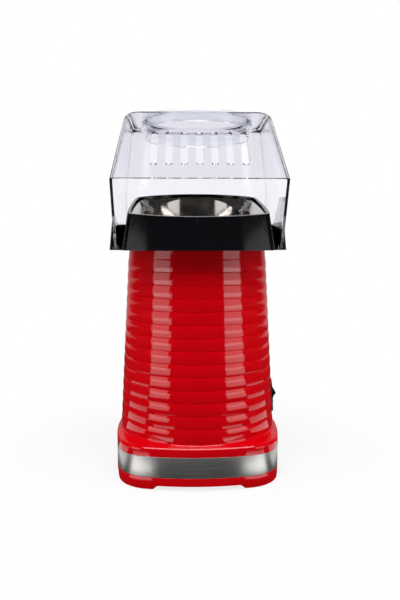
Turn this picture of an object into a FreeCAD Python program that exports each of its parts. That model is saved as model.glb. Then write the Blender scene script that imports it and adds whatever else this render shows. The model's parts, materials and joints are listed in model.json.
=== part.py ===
import FreeCAD, Part
import math
import os

import Sketcher

# Hot-air popcorn maker, in millimetres. Pieces are drawn about the tower's axis, +Z is up, the chute
# faces -Y and the switch is on +X.

Vector = FreeCAD.Vector
UP = Vector(0, 0, 1)
ACROSS = Vector(0, 1, 0)
OUTWARD = Vector(1, 0, 0)

DRIVING_SIZES = {
    # Base: a square with bowed sides and round corners
    "base_half": 68.2,
    "base_side_radius": 180.0,
    "base_corner_radius": 29.0,
    "base_wall": 2.2,
    "base_bottom": 0.5,
    "base_split": 18.5,
    "shoulder_height": 34.0,
    "shoulder_round": 3.0,
    "shoulder_plate": 2.4,
    "notch_top": 3.6,
    "notch_half": 32.4,
    "notch_slant": 3.2,
    "band_low": 10.0,
    "band_high": 26.4,
    "band_sheet": 0.6,
    "band_seat": 0.7,
    "band_gap": 0.1,
    "cover_low": 5.0,
    "cover_sheet": 2.4,
    "cover_gap": 0.3,
    "intake_radius": 3.0,
    "intake_pitch": 9.0,
    "foot_radius": 7.0,
    "post_bite": 0.7,
    "post_radius": 5.0,
    # Tower: a cone of convex ribs
    "tower_top": 183.4,
    "tower_wall": 2.4,
    "tower_neck": 6.8,
    "tower_step": 3.98,
    "groove_growth": 0.53,
    "tower_foot": 1.0,
    "rib_radius": 14.0,
    "tower_root": 1.6,
    # Collar: deck, scoop with a sloping rim, and skirt
    "deck_sheet": 3.0,
    "scoop_side_gap": 1.8,
    "scoop_front": 74.5,
    "scoop_back_gap": 2.0,
    "scoop_inset": 9.0,
    "scoop_wall": 2.2,
    "scoop_front_radius": 110.0,
    "scoop_side_radius": 700.0,
    "scoop_back_radius": 80.0,
    "scoop_front_corner": 9.0,
    "scoop_back_corner": 16.0,
    "scoop_height": 56.6,
    "rim_front_reach": 70.0,
    "rim_front_rise": 24.6,
    "rim_angle": 11.8,
    "skirt_overhang": 1.9,
    "skirt_back_overhang": 1.8,
    "skirt_front": 46.0,
    "skirt_inset": 2.1,
    "skirt_height": 21.6,
    "skirt_wall": 2.2,
    "skirt_side_radius": 700.0,
    "skirt_front_radius": 1400.0,
    "skirt_back_radius": 180.0,
    "skirt_corner": 6.0,
    "skirt_back_corner": 30.0,
    # Popping chamber and its liner
    "pot_flange_width": 4.4,
    "pot_sheet": 0.8,
    "pot_flange_gap": 1.48,
    "pot_hole_gap": 1.4,
    "gasket_sheet": 0.6,
    "slot_width": 7.0,
    "slot_height": 2.2,
    "slot_lift": 4.0,
    "slot_number": 16,
    "funnel_side_radius": 60.0,
    "funnel_corner": 33.0,
    "funnel_gap": 1.1,
    "funnel_drop": 0.8,
    "funnel_side_shift": 34.0,
    "spreader_radius": 15.0,
    "spreader_height": 9.0,
    # Air path: duct, shield, heater
    "duct_low": 72.0,
    "duct_height": 28.0,
    "duct_margin": 3.0,
    "duct_wall": 2.5,
    "duct_lip": 7.0,
    "duct_leg_margin": 0.745,
    "duct_leg_radius": 4.0,
    "inlet_radius": 8.0,
    "inlet_place": 29.0,
    "inlet_number": 6,
    "heater_space": 28.0,
    "shield_gap": 7.0,
    "shield_sheet": 0.8,
    "mica_sheet": 0.8,
    "mica_gap": 0.2,
    "mica_height": 23.0,
    "coil_margin": 8.0,
    "coil_wire": 1.5,
    "coil_gap": 0.3,
    "coil_lift": 5.0,
    "coil_pitch": 6.5,
    "thermostat_radius": 6.0,
    "thermostat_depth": 6.0,
    "fuse_radius": 1.8,
    "fuse_length": 12.0,
    # Fan and motor
    "motor_radius": 18.0,
    "motor_wall": 1.2,
    "motor_length": 32.0,
    "motor_cap": 4.0,
    "bushing_radius": 6.0,
    "bushing_stand": 4.0,
    "shaft_radius": 1.5,
    "shaft_gap": 0.05,
    "shaft_end": 2.0,
    "rotor_radius": 12.0,
    "rotor_lift": 6.0,
    "rotor_length": 18.0,
    "magnet_sheet": 3.4,
    "magnet_gap": 0.3,
    "fan_gap": 3.5,
    "fan_lift": 7.0,
    "fan_disc": 1.5,
    "fan_hub": 8.0,
    "fan_height": 14.0,
    "blade_sheet": 1.4,
    "blade_number": 8,
    "board_radius": 15.0,
    "board_sheet": 1.6,
    "diode_radius": 1.3,
    "diode_length": 7.0,
    "diode_pitch": 5.0,
    "terminal_width": 22.0,
    "terminal_depth": 10.0,
    "terminal_height": 10.0,
    "terminal_place": 34.0,
    # Switch on the tower's right side
    "switch_drop": 14.0,
    "flat_sink": 0.6858,
    "switch_lean": 3.04,
    "flat_width": 24.0,
    "flat_height": 34.0,
    "flat_depth": 8.0,
    "bezel_height": 28.7,
    "bezel_width": 17.0,
    "bezel_sheet": 2.0,
    "bezel_corner": 5.0,
    "bezel_side_radius": 720.0,
    "switch_box_height": 21.0,
    "switch_box_width": 13.4,
    "switch_box_depth": 11.5,
    "switch_box_gap": 0.3,
    "switch_well_depth": 12.0,
    "rocker_radius": 8.7,
    "rocker_width": 10.6,
    "rocker_gap": 0.3,
    "rocker_pivot_depth": 5.3,
    "rocker_tip_angle": 27.0,
    "rocker_back_angle": 20.0,
    "rocker_dish_radius": 7.0,
    "rocker_rest_angle": 18.0,
    "pin_radius": 1.2,
    "blade_terminal_length": 7.0,
    "blade_terminal_width": 4.8,
    # Cord gland in the tower's back
    "gland_radius": 4.5,
    "gland_flange": 6.5,
    "gland_flange_sheet": 2.0,
    "gland_bore": 3.2,
    "gland_depth": 8.0,
    "gland_stand": 1.5,
    # Hood
    "hood_side_gap": 3.9,
    "hood_back_gap": 6.8,
    "hood_wall": 2.0,
    "hood_foot_gap": 0.6,
    "hood_seat_gap": 0.3,
    "lip_front": 95.0,
    "lip_rise": 49.6,
    "visor_rise": 55.5,
    "hood_side_draw": 7.0,
    "hood_top_front": 42.0,
    "hood_back_draw": 6.0,
    "hood_front_corner": 8.0,
    "hood_top_corner": 14.0,
    "hood_back_corner": 28.0,
    "hood_flat_radius": 3000.0,
    "hood_back_radius": 400.0,
    "hood_top_round": 9.0,
    "mouth_foot": 55.0,
    "vent_width": 5.1,
    "vent_length": 38.0,
    "vent_pitch": 10.8,
    "vent_end_radius": 2.65,
    "vent_start": 24.4,
    "vent_cut": 6.0,
    # Measuring cup and its ring in the hood's top
    "ring_back_margin": 5.0,
    "ring_side_margin": 11.0,
    "ring_wall": 1.6,
    "ring_drop": 7.5,
    "ring_rise": 2.2,
    "ring_ledge": 0.9,
    "ring_ledge_sheet": 1.0,
    "ring_gate_half": 17.0,
    "cup_gap": 0.3,
    "cup_wall": 1.5,
    "cup_drop": 14.5,
    "cup_rise": 0.8,
    # Screws
    "screw_radius": 1.5,
    "screw_gap": 0.05,
    "screw_head": 3.0,
    "screw_head_height": 1.4,
    "screw_length": 9.0,
    "screw_pass": 1.8,
    "collar_post_bite": 0.98,
    "collar_post_radius": 3.5,
    "collar_post_length": 15.0,
    "motor_screw_place": 12.0,
}

RIB_COUNT = 14
COIL_COUNT = 3
VENT_COUNT = 7
DIODE_COUNT = 4
INTAKE_ROWS = 5
TERMINAL_COUNT = 3

doc = FreeCAD.newDocument("popcorn_maker")
sheet = doc.addObject("Spreadsheet::Sheet", "Sheet")
for row, (alias, number) in enumerate(DRIVING_SIZES.items(), start=1):
    sheet.set(f"A{row}", alias)
    sheet.set(f"B{row}", str(number))
    sheet.setAlias(f"B{row}", alias)
doc.recompute()


class Size:
    """A size that carries its number and the sheet expression that it comes from."""

    def __init__(self, number, text):
        self.number = number
        self.text = text

    def __add__(self, other):
        other = as_size(other)
        return Size(self.number + other.number, f"({self.text} + {other.text})")

    def __sub__(self, other):
        other = as_size(other)
        return Size(self.number - other.number, f"({self.text} - {other.text})")

    def __mul__(self, other):
        other = as_size(other)
        return Size(self.number * other.number, f"({self.text} * {other.text})")

    def __truediv__(self, other):
        other = as_size(other)
        return Size(self.number / other.number, f"({self.text} / {other.text})")

    def __rsub__(self, other):
        return as_size(other) - self

    def __rtruediv__(self, other):
        return as_size(other) / self

    def __neg__(self):
        return Size(-self.number, f"(-1 * {self.text})")

    __radd__ = __add__
    __rmul__ = __mul__


def as_size(value):
    """A plain number as a size, and a size as it is."""
    return value if isinstance(value, Size) else Size(float(value), repr(value))


def sine(angle):
    return Size(math.sin(math.radians(angle.number)), f"sin({angle.text})")


def cosine(angle):
    return Size(math.cos(math.radians(angle.number)), f"cos({angle.text})")


def tangent(angle):
    return Size(math.tan(math.radians(angle.number)), f"tan({angle.text})")


def square_root(size):
    return Size(math.sqrt(size.number), f"sqrt({size.text})")


def slope_angle(rise, run):
    """The angle in degrees whose tangent is rise over run."""
    angle = math.degrees(math.atan2(rise.number, run.number))
    return Size(angle, f"(atan2({rise.text}; {run.text}) / 1 deg)")


class Sheet:
    """Gives each cell of the sheet as a size, by its alias."""

    def __getattr__(self, alias):
        return Size(sheet.get(alias), f"Sheet.{alias}")


s = Sheet()
sub_parts = []
places_back = {}


def bind(item, prop, size):
    """Sets a property from the sheet."""
    item.setExpression(prop, as_size(size).text)


def bind_place(item, x=0, y=0, z=0):
    """Moves an object to a place worked out from the sheet, and notes how far back that is."""
    places_back[item.Name] = y
    for name, size in (("x", x), ("y", y), ("z", z)):
        bind(item, f"Placement.Base.{name}", size)


def keep(item, label):
    """Names an object as one sub-part of the popcorn maker."""
    item.Label = label
    sub_parts.append(item)
    return item


def new_body(label):
    return keep(doc.addObject("PartDesign::Body", label), label)


def origin_feature(body, role):
    return next(feature for feature in body.Origin.OriginFeatures if feature.Role == role)


def new_sketch(body, role="XY_Plane", lift=0, tilt=None, shift=0):
    """A sketch on one of the body's planes, lifted along its normal and tilted about its own x axis."""
    sketch = body.newObject("Sketcher::SketchObject", f"{body.Name}_sketch")
    sketch.AttachmentSupport = [(origin_feature(body, role), "")]
    sketch.MapMode = "FlatFace"
    if tilt is not None:
        sketch.AttachmentOffset = FreeCAD.Placement(Vector(), OUTWARD, tilt.number)
        bind(sketch, "AttachmentOffset.Rotation.Angle", tilt)
    bind(sketch, "AttachmentOffset.Base.y", shift)
    bind(sketch, "AttachmentOffset.Base.z", lift)
    return sketch


def limit(sketch, kind, index, point, size):
    """Holds a sketch point's across or up distance from the sketch's origin at a size."""
    size = as_size(size)
    if size.text in ("0", "0.0"):
        axis = -2 if kind == "DistanceX" else -1
        sketch.addConstraint(Sketcher.Constraint("PointOnObject", index, point, axis))
        return
    number = sketch.addConstraint(Sketcher.Constraint(kind, -1, 1, index, point, size.number))
    sketch.setExpression(f"Constraints[{number}]", size.text)


def limit_radius(sketch, index, size):
    size = as_size(size)
    number = sketch.addConstraint(Sketcher.Constraint("Radius", index, size.number))
    sketch.setExpression(f"Constraints[{number}]", size.text)


def arc_middle(start, end, radius):
    """The middle of an arc that bulges to the right of the way from start to end, or left if radius < 0."""
    chord = end - start
    half = chord.Length / 2
    depth = abs(radius) - math.sqrt(radius ** 2 - half ** 2)
    right = Vector(chord.y, -chord.x, 0).normalize()
    return (start + end) * 0.5 + right * math.copysign(depth, radius)


def draw_outline(sketch, corners):
    """A closed outline through (across, up) corners; a third value is the radius of an arc to the next."""
    places = [Vector(as_size(corner[0]).number, as_size(corner[1]).number, 0) for corner in corners]
    indices = []
    for i, corner in enumerate(corners):
        start, end = places[i], places[(i + 1) % len(places)]
        if len(corner) == 3:
            middle = arc_middle(start, end, as_size(corner[2]).number)
            edge = Part.Arc(start, middle, end)
        else:
            edge = Part.LineSegment(start, end)
        indices.append(sketch.addGeometry(edge, False))
    first_ends = [1 if sketch.getPoint(index, 1).distanceToPoint(place) < 1e-6 else 2
                  for index, place in zip(indices, places)]
    for i, corner in enumerate(corners):
        after = (i + 1) % len(corners)
        ends = (indices[i], 3 - first_ends[i], indices[after], first_ends[after])
        sketch.addConstraint(Sketcher.Constraint("Coincident", *ends))
        limit(sketch, "DistanceX", indices[i], first_ends[i], corner[0])
        limit(sketch, "DistanceY", indices[i], first_ends[i], corner[1])
        if len(corner) == 3:
            radius = as_size(corner[2])
            limit_radius(sketch, indices[i], radius if radius.number > 0 else -radius)
    return sketch


def draw_circle(sketch, x, y, radius):
    centre = Vector(as_size(x).number, as_size(y).number, 0)
    index = sketch.addGeometry(Part.Circle(centre, UP, as_size(radius).number), False)
    limit(sketch, "DistanceX", index, 3, x)
    limit(sketch, "DistanceY", index, 3, y)
    limit_radius(sketch, index, radius)
    return sketch


def draw_box(sketch, x_low, x_high, y_low, y_high):
    return draw_outline(sketch, [(x_low, y_low), (x_high, y_low), (x_high, y_high), (x_low, y_high)])


def inner_meeting(first, first_radius, second, second_radius, toward):
    """The crossing of two circles that lies further along toward."""
    line = second - first
    along = (first_radius ** 2 - second_radius ** 2 + line.Length ** 2) / (2 * line.Length)
    aside = math.sqrt(first_radius ** 2 - along ** 2)
    foot = first + line * (along / line.Length)
    normal = Vector(-line.y, line.x, 0).normalize() * aside
    return max((foot + normal, foot - normal), key=lambda place: place.dot(toward))


class Plan:
    """A four-sided plan with bowed sides and round corners, all convex and tangent to each other."""

    def __init__(self, half, front, back, side_bow, front_bow, back_bow, front_corner, back_corner,
                 side_shift=0):
        self.half, self.front, self.back = half, front, back
        self.side_bow, self.front_bow, self.back_bow = side_bow, front_bow, back_bow
        self.front_corner, self.back_corner = front_corner, back_corner
        self.side_shift = side_shift

    def inset(self, wall):
        """The same plan drawn in by a wall."""
        return Plan(self.half - wall, self.front - wall, self.back - wall, self.side_bow - wall,
                    self.front_bow - wall, self.back_bow - wall, self.front_corner - wall,
                    self.back_corner - wall, self.side_shift)

    def draw(self, sketch):
        bows = [(self.half - self.side_bow, self.side_shift, self.side_bow),
                (0, self.back - self.back_bow, self.back_bow),
                (self.side_bow - self.half, self.side_shift, self.side_bow),
                (0, self.front_bow - self.front, self.front_bow)]
        turns = [self.back_corner, self.back_corner, self.front_corner, self.front_corner]
        ways = [Vector(1, 1, 0), Vector(-1, 1, 0), Vector(-1, -1, 0), Vector(1, -1, 0)]
        centres = [Vector(as_size(x).number, as_size(y).number, 0) for x, y, bow in bows]
        corners = []
        for i in range(4):
            after = (i + 1) % 4
            turn = turns[i].number
            corners.append(inner_meeting(centres[i], bows[i][2].number - turn, centres[after],
                                         bows[after][2].number - turn, ways[i]))
        angles = []
        for i in range(4):
            to_corner = corners[i] - centres[i]
            to_next = corners[i] - centres[(i + 1) % 4]
            angles.append((math.atan2(to_corner.y, to_corner.x), math.atan2(to_next.y, to_next.x)))
        arcs = []
        for i in range(4):
            bow = Part.Circle(centres[i], UP, bows[i][2].number)
            turn = Part.Circle(corners[i], UP, turns[i].number)
            arcs.append(sketch.addGeometry(Part.ArcOfCircle(bow, angles[i - 1][1], angles[i][0]), False))
            arcs.append(sketch.addGeometry(Part.ArcOfCircle(turn, *angles[i]), False))
        for i, arc in enumerate(arcs):
            sketch.addConstraint(Sketcher.Constraint("Tangent", arc, 2, arcs[(i + 1) % 8], 1))
        for i, (x, y, bow) in enumerate(bows):
            limit(sketch, "DistanceX", arcs[2 * i], 3, x)
            limit(sketch, "DistanceY", arcs[2 * i], 3, y)
            limit_radius(sketch, arcs[2 * i], bow)
            limit_radius(sketch, arcs[2 * i + 1], turns[i])
        return sketch


def feature(body, kind, sketch):
    item = body.newObject(f"PartDesign::{kind}", f"{body.Name}_{kind}")
    item.Profile = sketch
    return item


def pad(body, sketch, length, backwards=False):
    """Adds a sketch's outline over a length along its normal."""
    item = feature(body, "Pad", sketch)
    bind(item, "Length", length)
    item.Reversed = backwards
    return item


def pocket(body, sketch, length=None, backwards=False, both_ways=False):
    """Cuts a sketch's outline against its normal, along it if backwards, or right through both ways."""
    item = feature(body, "Pocket", sketch)
    item.Reversed = backwards
    if both_ways:
        item.SideType = "Symmetric"
    if length is None:
        item.Type = "ThroughAll"
    else:
        bind(item, "Length", length)
    return item


def turn(body, sketch):
    item = feature(body, "Revolution", sketch)
    item.ReferenceAxis = (sketch, ["V_Axis"])
    item.Angle = 360
    return item


def loft(body, first, second, kind="AdditiveLoft"):
    item = feature(body, kind, first)
    item.Sections = [second]
    item.Ruled = True
    return item


def round_edges(body, item, radius, chosen):
    """Rounds those edges of a feature for which chosen is true."""
    doc.recompute()
    names = [f"Edge{i}" for i, edge in enumerate(item.Shape.Edges, start=1) if chosen(edge)]
    rounding = body.newObject("PartDesign::Fillet", f"{body.Name}_Fillet")
    rounding.Base = (item, names)
    bind(rounding, "Radius", radius)
    return rounding


def level_edge(height):
    """Tells whether an edge lies flat at a height."""
    return lambda edge: all(abs(vertex.Z - height.number) < 1e-4 for vertex in edge.Vertexes)


def ring_copies(body, item, number):
    """Repeats a feature round the body's upright axis."""
    copies = body.newObject("PartDesign::PolarPattern", f"{body.Name}_PolarPattern")
    copies.Originals = [item]
    copies.Axis = (origin_feature(body, "Z_Axis"), [""])
    copies.Angle = 360
    bind(copies, "Occurrences", number)
    body.Tip = copies
    return copies


def turned_piece(label, corners):
    """A piece turned about the upright axis from (radius, height) corners."""
    body = new_body(label)
    turn(body, draw_outline(new_sketch(body, "XZ_Plane"), corners))
    return body


def ring_corners(inner, outer, low, high):
    return [(inner, low), (outer, low), (outer, high), (inner, high)]


def cylinder(name, radius, height, x=0, y=0, z=0, axis=UP):
    item = doc.addObject("Part::Cylinder", name)
    bind(item, "Radius", radius)
    bind(item, "Height", height)
    item.Placement = FreeCAD.Placement(Vector(), FreeCAD.Rotation(UP, axis))
    bind_place(item, x, y, z)
    return item


def box(name, length, width, height, x=0, y=0, z=0):
    """A box whose lowest corner is at the place given."""
    item = doc.addObject("Part::Box", name)
    bind(item, "Length", length)
    bind(item, "Width", width)
    bind(item, "Height", height)
    bind_place(item, x, y, z)
    return item


def group(label, items):
    """Separate solids of one kind kept as one sub-part."""
    item = doc.addObject("Part::Compound", label)
    item.Links = items
    return keep(item, label)


def cut(label, base, tool):
    item = doc.addObject("Part::Cut", label)
    item.Base = base
    item.Tool = tool
    return item


def even_steps(number):
    """Steps of one on both sides of zero."""
    return [i - (number - 1) / 2 for i in range(number)]


def square_places(distance):
    """The four places at the same distance out along both axes."""
    return [(x * distance, y * distance) for x in (1, -1) for y in (1, -1)]


def screw_group(label, places, seat, points_up):
    """Pan-head screws whose heads bear on a seat, with the shank going up or down from it."""
    screws = []
    for i, (x, y) in enumerate(places):
        head_low = seat - s.screw_head_height if points_up else seat
        shank_low = seat if points_up else seat - s.screw_length
        head = cylinder(f"{label}_head_{i}", s.screw_head, s.screw_head_height, x, y, head_low)
        shank = cylinder(f"{label}_shank_{i}", s.screw_radius, s.screw_length, x, y, shank_low)
        screw = doc.addObject("Part::Fuse", f"{label}_{i}")
        screw.Base = head
        screw.Tool = shank
        screws.append(screw)
    return group(label, screws)


# Places and sizes that follow from the driving ones, from the base up
DIAGONAL = math.sqrt(2)
screw_hole = s.screw_radius + s.screw_gap
shaft_hole = s.shaft_radius + s.shaft_gap
cover_top = s.cover_low + s.cover_sheet
base_inner_wall = s.band_seat + s.base_wall
side_centre = s.base_side_radius - s.base_half
corner_reach = s.base_side_radius - s.base_corner_radius
corner_centre = (square_root(2 * corner_reach * corner_reach - side_centre * side_centre) - side_centre) / 2
post_place = corner_centre + (s.base_corner_radius - base_inner_wall - s.post_radius + s.post_bite) / DIAGONAL

# Tower
root_groove = s.base_half - s.tower_step
groove_radius = root_groove - s.groove_growth * RIB_COUNT
groove_top = s.tower_top - s.tower_neck
low_groove = s.shoulder_height + s.tower_root + s.tower_foot
rib_pitch = (groove_top - low_groove) / RIB_COUNT
inner_head = groove_radius - s.tower_wall
collar_screw_reach = inner_head - s.collar_post_radius + s.collar_post_bite
collar_screw_place = collar_screw_reach / DIAGONAL
gland_height = low_groove + rib_pitch

# Collar and hood
deck_top = s.tower_top + s.deck_sheet
skirt_half = s.base_half + s.skirt_overhang
skirt_back = s.base_half + s.skirt_back_overhang
skirt_top = s.tower_top + s.skirt_height
hood_half = skirt_half - s.skirt_wall - s.hood_side_gap
hood_back = skirt_back - s.skirt_wall - s.hood_back_gap
hood_foot = s.tower_top + s.hood_foot_gap
lip_height = s.tower_top + s.lip_rise
hood_top = lip_height + s.visor_rise
hood_top_half = hood_half - s.hood_side_draw
hood_top_back = hood_back - s.hood_back_draw
scoop_half = hood_half - s.hood_wall - s.scoop_side_gap
scoop_back = hood_back - s.hood_wall - s.scoop_back_gap
scoop_reach = s.tower_top + s.scoop_height
scoop_lean = s.scoop_inset / s.scoop_height
rim_front_height = s.tower_top + s.rim_front_rise
rim_zero = rim_front_height + s.rim_front_reach * tangent(s.rim_angle)
ring_radius = hood_top_half - s.ring_side_margin
ring_bore = ring_radius - s.ring_wall
cup_place = hood_top_back - ring_radius - s.ring_back_margin
axis_place = (s.lip_front - skirt_back) / 2

# Air path, fan and motor
gasket_top = deck_top + s.gasket_sheet
flange_top = gasket_top + s.pot_sheet
pot_flange = collar_screw_reach - s.screw_head - s.pot_flange_gap
pot_radius = pot_flange - s.pot_flange_width
shield_radius = inner_head - s.shield_gap
duct_radius = shield_radius + s.duct_margin
duct_leg_place = (duct_radius - s.duct_leg_radius - s.duct_leg_margin) / DIAGONAL
foot_place = (duct_leg_place + post_place) / 2
duct_high = s.duct_low + s.duct_height
coil_radius = shield_radius - s.coil_margin
coil_low = duct_high + s.coil_lift
pot_floor = duct_high + s.heater_space
fan_radius = duct_radius - s.duct_wall - s.fan_gap
fan_low = s.duct_low + s.fan_lift
shaft_top = fan_low + s.fan_height + s.shaft_end
motor_low = s.duct_low - s.motor_length
cap_low = motor_low - s.motor_cap
rotor_low = motor_low + s.rotor_lift
rotor_high = rotor_low + s.rotor_length

# Switch
switch_height = s.duct_low - s.switch_drop
switch_face = groove_radius + s.groove_growth * (groove_top - switch_height) / rib_pitch - s.flat_sink


def base_plan(inset=0):
    half = s.base_half - inset
    bow = s.base_side_radius - inset
    corner = s.base_corner_radius - inset
    return Plan(half, half, half, bow, bow, bow, corner, corner)


def scoop_plan(height, wall=0):
    """The scoop's plan at a height, which draws in as it rises, less a wall."""
    inset = (height - s.tower_top) * scoop_lean
    whole = Plan(scoop_half, s.scoop_front, scoop_back, s.scoop_side_radius, s.scoop_front_radius,
                 s.scoop_back_radius, s.scoop_front_corner, s.scoop_back_corner)
    moved = Plan(whole.half - inset, whole.front - inset, whole.back - inset, whole.side_bow,
                 whole.front_bow, whole.back_bow, whole.front_corner, whole.back_corner)
    return moved.inset(as_size(wall))


def skirt_plan(inset, front_reach=0):
    """The skirt's plan, drawn in by an inset and carried forward by an extra reach."""
    return Plan(skirt_half - inset, s.skirt_front + front_reach, skirt_back - inset, s.skirt_side_radius,
                s.skirt_front_radius, s.skirt_back_radius, s.skirt_corner, s.skirt_back_corner)


def make_tower_shell():
    body = new_body("tower_shell")
    pad(body, base_plan(s.band_seat).draw(new_sketch(body, lift=s.base_split)), s.band_high - s.base_split)
    shoulder = pad(body, base_plan().draw(new_sketch(body, lift=s.band_high)),
                   s.shoulder_height - s.band_high)
    round_edges(body, shoulder, s.shoulder_round, level_edge(s.shoulder_height))
    hollow = base_plan(base_inner_wall).draw(new_sketch(body, lift=s.base_split))
    pocket(body, hollow, s.shoulder_height - s.shoulder_plate - s.base_split, backwards=True)
    pocket(body, draw_circle(new_sketch(body, lift=s.base_split), 0, 0, root_groove - s.tower_wall),
           s.shoulder_height, backwards=True)
    inner_foot = root_groove - s.tower_wall
    root_low = s.shoulder_height - s.shoulder_plate
    corners = [(inner_foot, root_low), (root_groove + s.tower_root, root_low),
               (root_groove + s.tower_root, s.shoulder_height, -s.tower_root),
               (root_groove, s.shoulder_height + s.tower_root)]
    for k in range(RIB_COUNT, -1, -1):
        corners.append((groove_radius + s.groove_growth * k, groove_top - rib_pitch * k, s.rib_radius))
    corners += [(groove_radius, s.tower_top), (inner_head, s.tower_top)]
    turn(body, draw_outline(new_sketch(body, "XZ_Plane"), corners))
    posts = new_sketch(body, lift=s.tower_top - s.collar_post_length)
    for x, y in square_places(collar_screw_place):
        draw_circle(posts, x, y, s.collar_post_radius)
    pad(body, posts, s.collar_post_length)
    holes = new_sketch(body, lift=s.tower_top)
    for x, y in square_places(collar_screw_place):
        draw_circle(holes, x, y, screw_hole)
    pocket(body, holes, s.screw_length)
    face = new_sketch(body, "XZ_Plane", lift=-s.flat_width / 2)
    draw_flat(face)
    pocket(body, face, s.flat_width, backwards=True)
    window = new_sketch(body, "XZ_Plane", lift=-(s.switch_box_width / 2 + s.switch_box_gap))
    draw_window(window)
    pocket(body, window, s.switch_box_width + s.switch_box_gap * 2, backwards=True)
    gland = draw_circle(new_sketch(body, "XZ_Plane"), 0, gland_height, s.gland_radius + s.shaft_gap)
    pocket(body, gland)
    return body


def leaning_corners(out_low, out_high, half_height):
    """Corners of a leaning block beside the switch, from (outward, upward) in the switch's own frame."""
    corners = []
    for out, rise in ((out_low, -half_height), (out_high, -half_height), (out_high, half_height),
                      (out_low, half_height)):
        across = switch_face + out * cosine(s.switch_lean) - rise * sine(s.switch_lean)
        height = switch_height + out * sine(s.switch_lean) + rise * cosine(s.switch_lean)
        corners.append((across, height))
    return corners


def draw_flat(sketch):
    """The flat cut across the ribs for the switch."""
    return draw_outline(sketch, leaning_corners(as_size(0), s.flat_depth, s.flat_height / 2))


def draw_window(sketch):
    """The opening in the wall for the body of the switch."""
    half_height = s.switch_box_height / 2 + s.switch_box_gap
    return draw_outline(sketch, leaning_corners(-s.switch_box_depth, s.bezel_sheet, half_height))


def make_base_ring():
    body = new_body("base_ring")
    pad(body, base_plan().draw(new_sketch(body, lift=s.base_bottom)), s.band_low - s.base_bottom)
    pad(body, base_plan(s.band_seat).draw(new_sketch(body, lift=s.band_low)), s.base_split - s.band_low)
    hollow = base_plan(base_inner_wall).draw(new_sketch(body, lift=s.base_bottom))
    pocket(body, hollow, s.base_split, backwards=True)
    posts = new_sketch(body, lift=cover_top)
    for x, y in square_places(post_place):
        draw_circle(posts, x, y, s.post_radius)
    pad(body, posts, s.base_split - cover_top)
    holes = new_sketch(body, lift=cover_top)
    for x, y in square_places(post_place):
        draw_circle(holes, x, y, screw_hole)
    pocket(body, holes, s.screw_length, backwards=True)
    for role in ("XZ_Plane", "YZ_Plane"):
        notch = new_sketch(body, role)
        foot = s.notch_half + s.notch_slant
        draw_outline(notch, [(-foot, 0), (foot, 0), (foot, s.base_bottom), (s.notch_half, s.notch_top),
                             (-s.notch_half, s.notch_top), (-foot, s.base_bottom)])
        pocket(body, notch, both_ways=True)
    return body


def make_steel_band():
    body = new_body("steel_band")
    sketch = new_sketch(body, lift=s.band_low + s.band_gap)
    base_plan(s.band_seat - s.band_gap - s.band_sheet).draw(sketch)
    base_plan(s.band_seat - s.band_gap).draw(sketch)
    pad(body, sketch, s.band_high - s.band_low - s.band_gap * 2)
    return body


def make_bottom_cover():
    """The plate under the base, with a grid of air holes under the motor."""
    body = new_body("bottom_cover")
    sketch = new_sketch(body, lift=s.cover_low)
    base_plan(base_inner_wall + s.cover_gap).draw(sketch)
    pad(body, sketch, s.cover_sheet)
    holes = new_sketch(body, lift=s.cover_low)
    for x, y in square_places(post_place) + square_places(duct_leg_place):
        draw_circle(holes, x, y, s.screw_pass)
    for across in even_steps(INTAKE_ROWS):
        for along in even_steps(INTAKE_ROWS):
            draw_circle(holes, across * s.intake_pitch, along * s.intake_pitch, s.intake_radius)
    pocket(body, holes, s.cover_sheet, backwards=True)
    return body


def make_rubber_feet():
    feet = [cylinder(f"rubber_foot_{i}", s.foot_radius, s.cover_low, x, y)
            for i, (x, y) in enumerate(square_places(foot_place))]
    return group("rubber_feet", feet)


def make_collar():
    body = new_body("collar")
    loft(body, skirt_plan(0).draw(new_sketch(body, lift=s.tower_top)),
         skirt_plan(s.skirt_inset).draw(new_sketch(body, lift=skirt_top)))
    loft(body, skirt_plan(s.skirt_wall, s.scoop_front).draw(new_sketch(body, lift=deck_top)),
         skirt_plan(s.skirt_inset + s.skirt_wall, s.scoop_front).draw(new_sketch(body, lift=skirt_top)),
         "SubtractiveLoft")
    loft(body, scoop_plan(s.tower_top).draw(new_sketch(body, lift=s.tower_top)),
         scoop_plan(scoop_reach).draw(new_sketch(body, lift=scoop_reach)))
    above_rim = new_sketch(body, "YZ_Plane")
    far = s.scoop_front * 2
    draw_outline(above_rim, [(-far, rim_zero - far * tangent(s.rim_angle)),
                             (far, rim_zero + far * tangent(s.rim_angle)),
                             (far, scoop_reach * 2), (-far, scoop_reach * 2)])
    pocket(body, above_rim, both_ways=True)
    loft(body, scoop_plan(deck_top, s.scoop_wall).draw(new_sketch(body, lift=deck_top)),
         scoop_plan(scoop_reach, s.scoop_wall).draw(new_sketch(body, lift=scoop_reach)),
         "SubtractiveLoft")
    holes = draw_circle(new_sketch(body, lift=s.tower_top), 0, 0, pot_radius + s.pot_hole_gap)
    for x, y in square_places(collar_screw_place):
        draw_circle(holes, x, y, s.screw_pass)
    pocket(body, holes, s.deck_sheet, backwards=True)
    return body


def make_popping_chamber():
    inner = pot_radius - s.pot_sheet
    floor_top = pot_floor + s.pot_sheet
    body = turned_piece("popping_chamber", [
        (0, pot_floor), (pot_radius, pot_floor), (pot_radius, gasket_top), (pot_flange, gasket_top),
        (pot_flange, flange_top), (inner, flange_top), (inner, floor_top), (0, floor_top)])
    low = floor_top + s.slot_lift
    slot = draw_box(new_sketch(body, "XZ_Plane"), -s.slot_width / 2, s.slot_width / 2, low,
                    low + s.slot_height)
    ring_copies(body, pocket(body, slot), s.slot_number)
    return body


def funnel_foot_plan(inset):
    half = pot_radius - inset
    bow = s.funnel_side_radius - inset
    corner = s.funnel_corner - inset
    return Plan(half, half, half, bow, bow, bow, corner, corner)


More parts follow.
